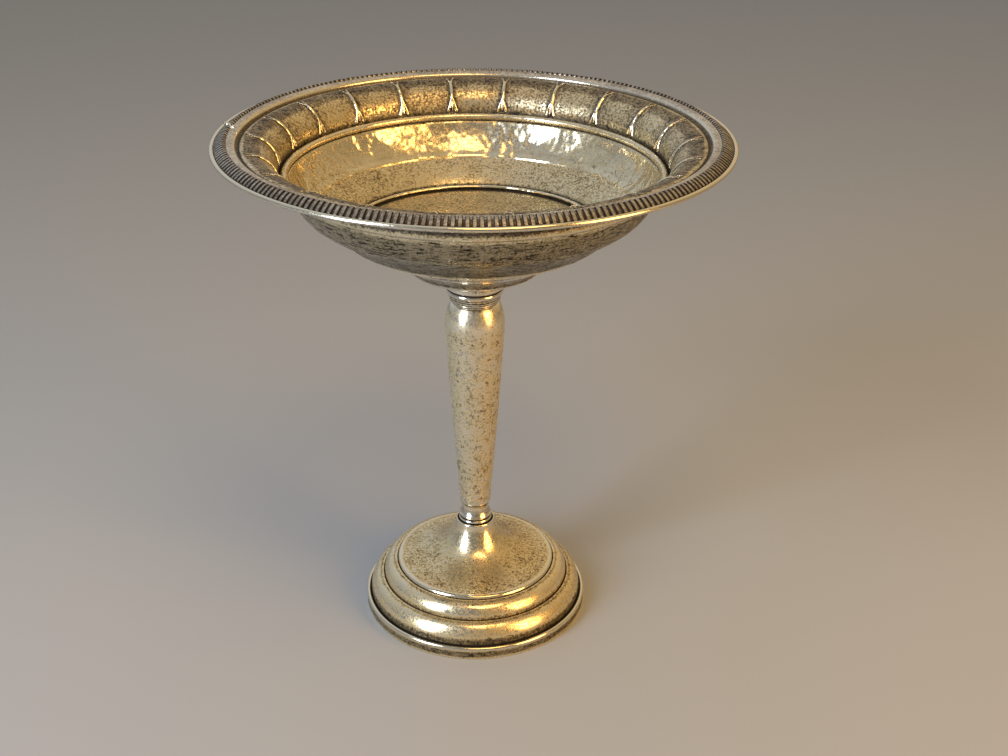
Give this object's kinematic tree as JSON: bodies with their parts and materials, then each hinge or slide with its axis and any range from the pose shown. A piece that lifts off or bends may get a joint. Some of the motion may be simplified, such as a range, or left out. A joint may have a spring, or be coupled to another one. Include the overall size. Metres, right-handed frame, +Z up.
{
  "type": "footed compote bowl",
  "caption": "Round metal compote: a wide bowl with a ribbed panel band and beaded border on a stepped collar, a tapered stem and a domed, stepped, weighted foot.",
  "frame": {"origin": "centre of the foot on the table, midway across the foot's lower edge", "axes": "+Z up along the axis of the stem and bowl; the bowl is round, so X and Y are any two level directions"},
  "size_m": [0.1524, 0.1524, 0.1627],
  "materials": {
    "bowl_silver": "tarnished sterling silver, warm grey with dark speckle, polished on the high edges",
    "border_silver": "tarnished sterling silver, dark between the beads, polished on the rolled edge",
    "stem_silver": "bright sterling silver with mottled dark tarnish",
    "foot_silver": "tarnished sterling silver, dark in the grooves, polished on the steps",
    "rod_steel": "plain drawn steel",
    "pitch": "black cutler's pitch",
    "plaster": "cast plaster",
    "plate_silver": "dull tarnished sheet silver"
  },
  "bodies": {
    "root": {"bowl": "bowl_silver", "rim_border": "border_silver", "bowl_collar": "bowl_silver", "stem_shell": "stem_silver", "foot_shell": "foot_silver", "reinforcing_rod": "rod_steel", "stem_filling": "pitch", "foot_weight": "plaster", "base_plate": "plate_silver"}
  },
  "joints": []
}
